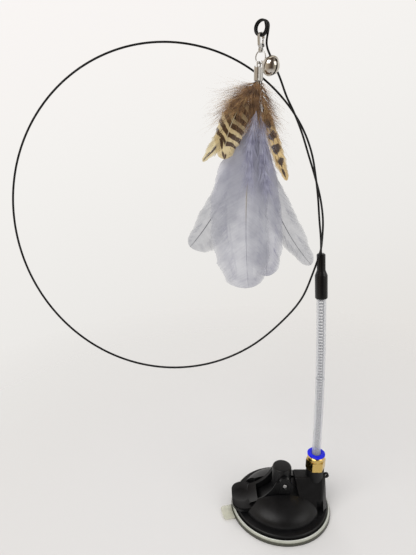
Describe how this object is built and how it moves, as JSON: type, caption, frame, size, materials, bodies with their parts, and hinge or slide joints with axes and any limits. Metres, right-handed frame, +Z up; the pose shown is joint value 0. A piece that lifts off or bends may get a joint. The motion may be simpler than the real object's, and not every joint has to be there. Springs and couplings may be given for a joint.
{
  "type": "cat teaser wand",
  "caption": "Cat teaser wand: suction base with a lever, clear sprung tube, black wire loop, and a bell and feathers on a clasp.",
  "frame": {"origin": "centre of the suction disc, on the surface that it stands on", "axes": "+Z up, -Z into the table; the lever's paddle points to -X, the push fitting stands at +X, and the view of the picture looks along +Y"},
  "size_m": [0.2042, 0.07, 0.3195],
  "materials": {
    "black_plastic": "moulded, satin",
    "clear_rubber": "soft, clear",
    "steel": "turned",
    "brass": "machined",
    "black_rubber": "smooth",
    "blue_plastic": "glossy",
    "clear_hose": "clear, glossy",
    "spring_steel": "drawn wire",
    "black_sleeve": "satin",
    "black_wire": "thin black coat",
    "nickel": "bright plating",
    "bell_nickel": "mirror plating",
    "cap_nickel": "bright plating",
    "grey_feather": "soft barbs",
    "brown_feather": "barred and spotted"
  },
  "bodies": {
    "base": {"housing": "black_plastic", "suction_disc": "clear_rubber", "fitting_body": "brass", "o_ring": "black_rubber", "grip_ring": "steel"},
    "stem": {"stem": "black_plastic", "lever_pin": "steel"},
    "lever": {"lever": "black_plastic"},
    "collar": {"release_collar": "blue_plastic"},
    "mast": {"clear_tube": "clear_hose", "tube_spring": "spring_steel"},
    "wand": {"sleeve": "black_sleeve", "wire_ferrule": "brass", "loop_wire": "black_wire"},
    "clasp": {"clasp_body": "nickel", "clasp_rivet": "steel"},
    "gate": {"clasp_gate": "nickel"},
    "ring": {"jump_ring": "nickel"},
    "feathers": {"feather_cap": "cap_nickel", "grey_feather_a": "grey_feather", "grey_feather_b": "grey_feather", "grey_feather_c": "grey_feather", "grey_feather_d": "grey_feather", "brown_feather_a": "brown_feather", "brown_feather_b": "brown_feather", "brown_feather_c": "brown_feather", "brown_feather_d": "brown_feather"},
    "bell": {"bell_top": "bell_nickel", "bell_bottom": "bell_nickel", "bell_loop": "bell_nickel"},
    "ball": {"bell_ball": "steel"}
  },
  "joints": [
    {"name": "stem_lift", "type": "slide", "parent": "base", "child": "stem", "axis": [0, 0, 1], "range_m": [-0.002, 0], "deforming": ["suction_disc"]},
    {"name": "lever_pivot", "type": "hinge", "parent": "stem", "child": "lever", "pos_m": [0.001, 0, 0.0247], "axis": [0, 1, 0], "range_deg": [0, 90]},
    {"name": "collar_press", "type": "slide", "parent": "base", "child": "collar", "axis": [0, 0, -1], "range_m": [0, 0.0007], "stiffness_N_per_m": 300, "springref_m": -0.0005},
    {"name": "mast_sway", "type": "hinge", "parent": "base", "child": "mast", "pos_m": [0.02311, 0, 0.07675], "axis": [0, 1, 0], "range_deg": [-30, 30], "stiffness_Nm_per_rad": 0.15, "springref_deg": 2.42, "deforming": ["clear_tube", "tube_spring"]},
    {"name": "mast_nod", "type": "hinge", "parent": "mast", "child": "wand", "pos_m": [0.0209, 0, 0.1327], "axis": [1, 0, 0], "range_deg": [-30, 30], "stiffness_Nm_per_rad": 0.15, "springref_deg": 0.28, "deforming": ["clear_tube", "tube_spring"]},
    {"name": "clasp_swing", "type": "hinge", "parent": "wand", "child": "clasp", "pos_m": [-0.02172, 0.01126, 0.31018], "axis": [0.7655, -0.6434, 0], "range_deg": [-25, 0.8]},
    {"name": "gate_open", "type": "hinge", "parent": "clasp", "child": "gate", "pos_m": [-0.02069, 0.01249, 0.30599], "axis": [0.7655, -0.6434, 0], "range_deg": [0, 20], "stiffness_Nm_per_rad": 0.00001, "springref_deg": -17.19},
    {"name": "ring_swing", "type": "hinge", "parent": "clasp", "child": "ring", "pos_m": [-0.02172, 0.01126, 0.30353], "axis": [0.7655, -0.6434, 0], "range_deg": [-25, 0.8]},
    {"name": "feather_swing", "type": "hinge", "parent": "ring", "child": "feathers", "pos_m": [-0.02257, 0.01198, 0.29723], "axis": [0.7655, -0.6434, 0], "range_deg": [-40, 2]},
    {"name": "bell_swing", "type": "hinge", "parent": "ring", "child": "bell", "pos_m": [-0.02029, 0.01006, 0.29762], "axis": [0.6271, -0.5271, 0.5736], "range_deg": [-26, 0]},
    {"name": "pellet_slide", "type": "slide", "parent": "bell", "child": "ball", "axis": [0, 0, 1], "range_m": [0, 0.0045]}
  ],
  "couplings": [
    {"joint": "lever_pivot", "follows": "stem_lift", "rad_per_m": -785}
  ]
}
